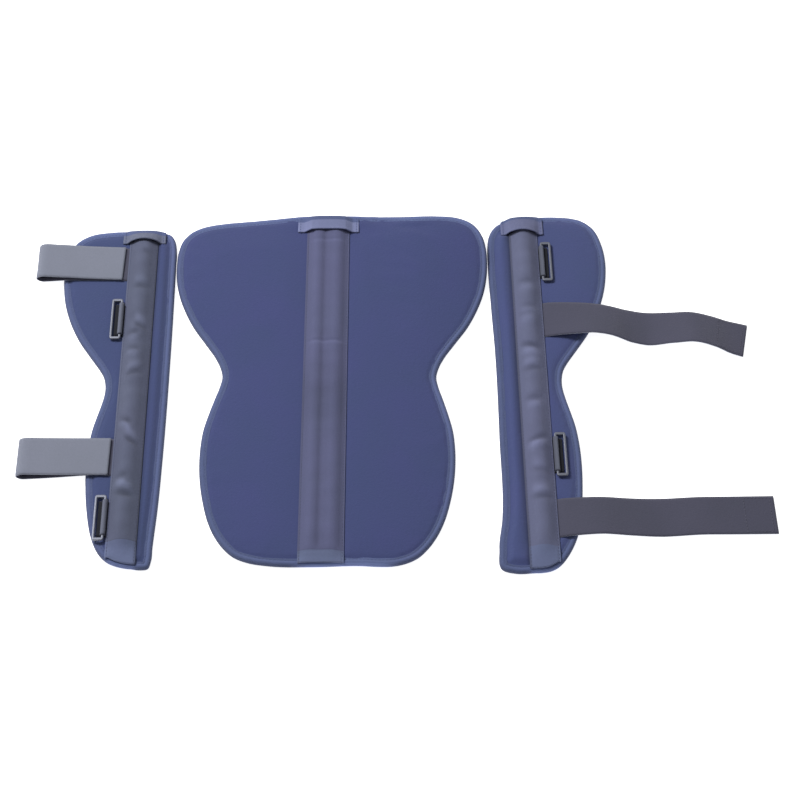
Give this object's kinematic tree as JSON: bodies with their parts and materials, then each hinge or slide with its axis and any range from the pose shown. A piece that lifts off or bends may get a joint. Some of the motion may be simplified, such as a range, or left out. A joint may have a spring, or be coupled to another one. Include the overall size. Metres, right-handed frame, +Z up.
{
  "type": "knee splint",
  "caption": "Three-panel padded knee splint opened out flat, with bound edges, stay pockets down each panel, webbing straps and oblong strap rings that swing up.",
  "frame": {"origin": "on the table under the middle of the splint's footprint", "axes": "+X across the splint from the folded straps to the loose straps, +Y towards the thigh end, +Z up from the table"},
  "size_m": [0.866, 0.51, 0.0211],
  "materials": {
    "panel_cloth": "matt navy loop cloth on foam",
    "edge_binding": "matt woven binding tape",
    "pocket_tape": "matt woven tape",
    "cap_tape": "matt woven tape",
    "strap_webbing": "matt webbing, dark face and paler back",
    "chape_webbing": "matt dark webbing",
    "ring_metal": "satin plated metal"
  },
  "bodies": {
    "splint": {"posterior_panel": "panel_cloth", "posterior_binding": "edge_binding", "posterior_stay_pocket": "pocket_tape", "posterior_pocket_cap": "cap_tape", "left_panel": "panel_cloth", "left_binding": "edge_binding", "left_stay_pocket": "pocket_tape", "left_pocket_cap": "cap_tape", "left_strap_upper": "strap_webbing", "left_strap_lower": "strap_webbing", "left_chape_upper": "chape_webbing", "left_chape_lower": "chape_webbing", "right_panel": "panel_cloth", "right_binding": "edge_binding", "right_stay_pocket": "pocket_tape", "right_pocket_cap": "cap_tape", "right_strap_upper": "strap_webbing", "right_strap_lower": "strap_webbing", "right_chape_upper": "chape_webbing", "right_chape_lower": "chape_webbing"},
    "left_upper_ring": {"left_ring_upper": "ring_metal"},
    "left_lower_ring": {"left_ring_lower": "ring_metal"},
    "right_upper_ring": {"right_ring_upper": "ring_metal"},
    "right_lower_ring": {"right_ring_lower": "ring_metal"}
  },
  "joints": [
    {"name": "left_upper_ring_swing", "type": "hinge", "parent": "splint", "child": "left_upper_ring", "pos_m": [-0.32524, 0.09112, 0.01175], "axis": [-0.0079, 1, 0], "range_deg": [0, 130]},
    {"name": "left_lower_ring_swing", "type": "hinge", "parent": "splint", "child": "left_lower_ring", "pos_m": [-0.32305, -0.18787, 0.01175], "axis": [-0.0079, 1, 0], "range_deg": [0, 130]},
    {"name": "right_upper_ring_swing", "type": "hinge", "parent": "splint", "child": "right_upper_ring", "pos_m": [0.18156, 0.17886, 0.01175], "axis": [0.0209, -0.9998, 0], "range_deg": [0, 130]},
    {"name": "right_lower_ring_swing", "type": "hinge", "parent": "splint", "child": "right_lower_ring", "pos_m": [0.18746, -0.10257, 0.01175], "axis": [0.0209, -0.9998, 0], "range_deg": [0, 130]}
  ]
}
